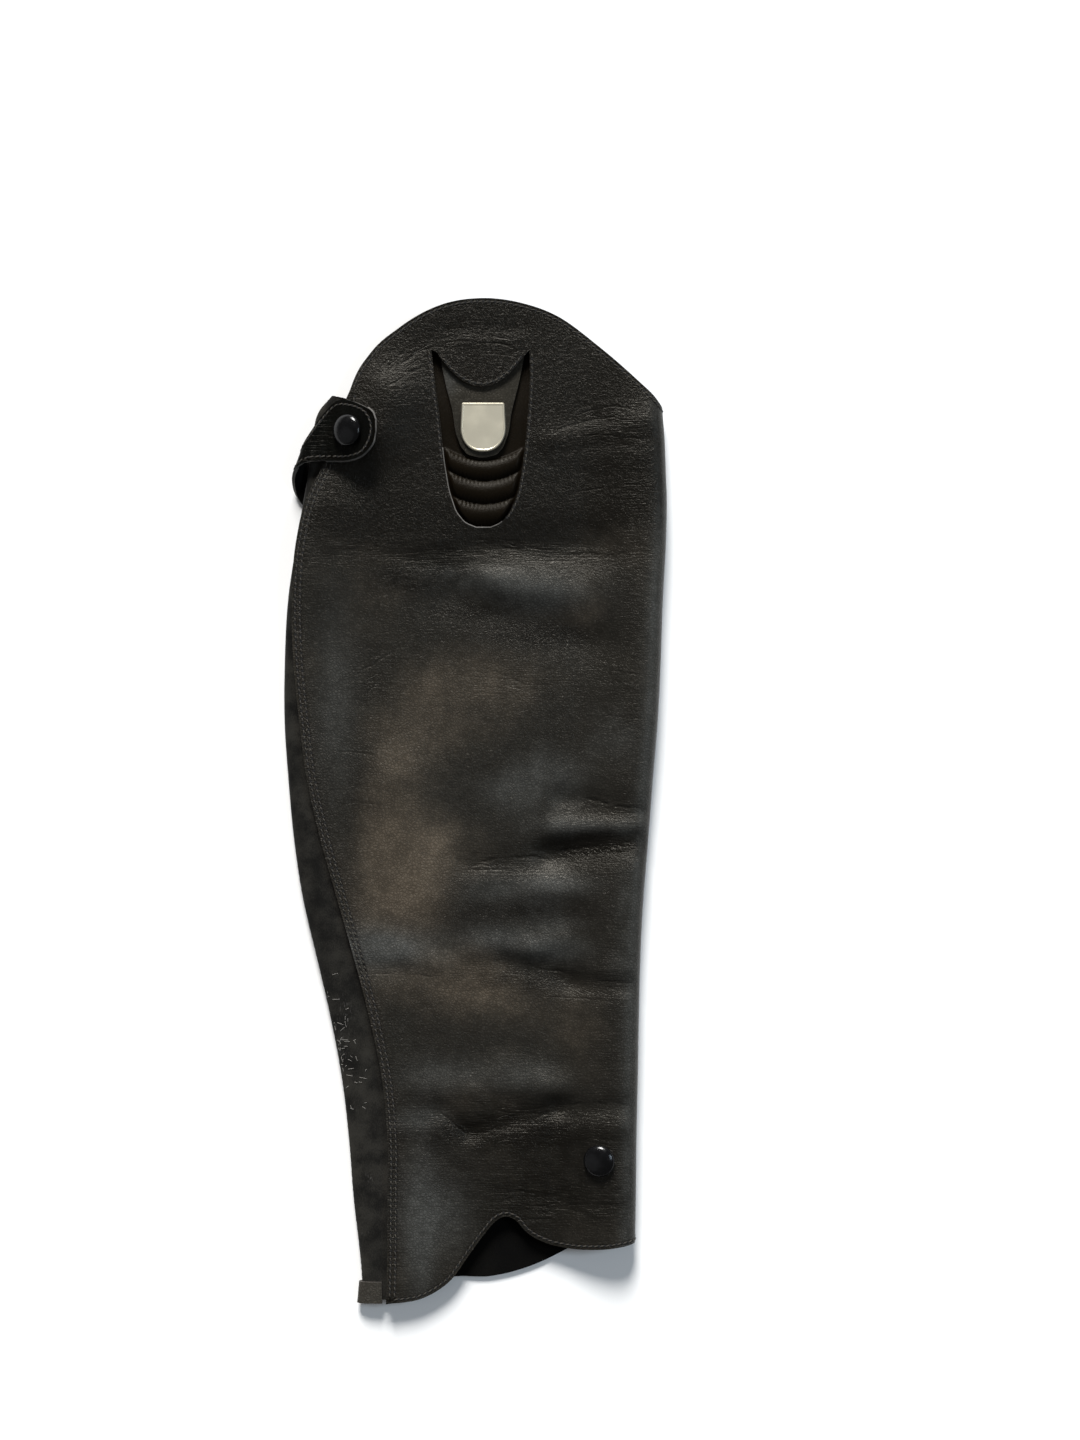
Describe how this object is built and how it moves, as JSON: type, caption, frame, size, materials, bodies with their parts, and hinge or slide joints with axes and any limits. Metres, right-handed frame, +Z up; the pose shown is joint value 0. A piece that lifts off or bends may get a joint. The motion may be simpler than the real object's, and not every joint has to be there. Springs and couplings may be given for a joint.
{
  "type": "half chap",
  "caption": "Tall black leather half chap for a rider's right leg, laid flat, with a stretch suede strip and zip down the calf and a snapped strap over the zip's top.",
  "frame": {"origin": "on the surface it lies on, under the middle of its bounding box", "axes": "+X from the calf seam to the shin, +Y from the ankle up to the knee, +Z up off the surface"},
  "size_m": [0.1823, 0.478, 0.0217],
  "materials": {
    "black_leather": "semi-gloss full-grain leather with fine pebble grain and soft creases",
    "charcoal_suede": "matte brushed stretch suede with short nap",
    "zip_tape": "black woven tape",
    "zip_teeth": "black coil teeth, slightly glossy",
    "dark_metal": "dark gunmetal plating",
    "black_enamel": "glossy black enamel",
    "pale_metal": "pale champagne satin with bevelled edges",
    "mesh_lining": "black open mesh lining",
    "thread": "dark waxed sewing thread"
  },
  "bodies": {
    "half_chap": {"leather_body": "black_leather", "back_gusset": "charcoal_suede", "gusset_end_tab": "black_leather", "zip_tape_leather_side": "zip_tape", "zip_tape_gusset_side": "zip_tape", "zip_chain": "zip_teeth", "zip_box": "dark_metal", "zip_slider": "dark_metal", "strap": "black_leather", "strap_snap_cap": "black_enamel", "strap_snap_socket": "dark_metal", "strap_snap_stud": "dark_metal", "ankle_snap_cap": "black_enamel", "ankle_snap_socket": "dark_metal", "badge_pad": "black_leather", "badge_tongue": "black_leather", "badge_plate": "pale_metal", "top_facing": "black_leather", "mesh_patch": "mesh_lining"},
    "zip_pull_tab": {"zip_pull": "dark_metal"}
  },
  "joints": [
    {"name": "zip_pull_swing", "type": "hinge", "parent": "half_chap", "child": "zip_pull_tab", "pos_m": [-0.06605, 0.13759, 0.00135], "axis": [0.9705, -0.2409, 0], "range_deg": [0, 150]}
  ]
}
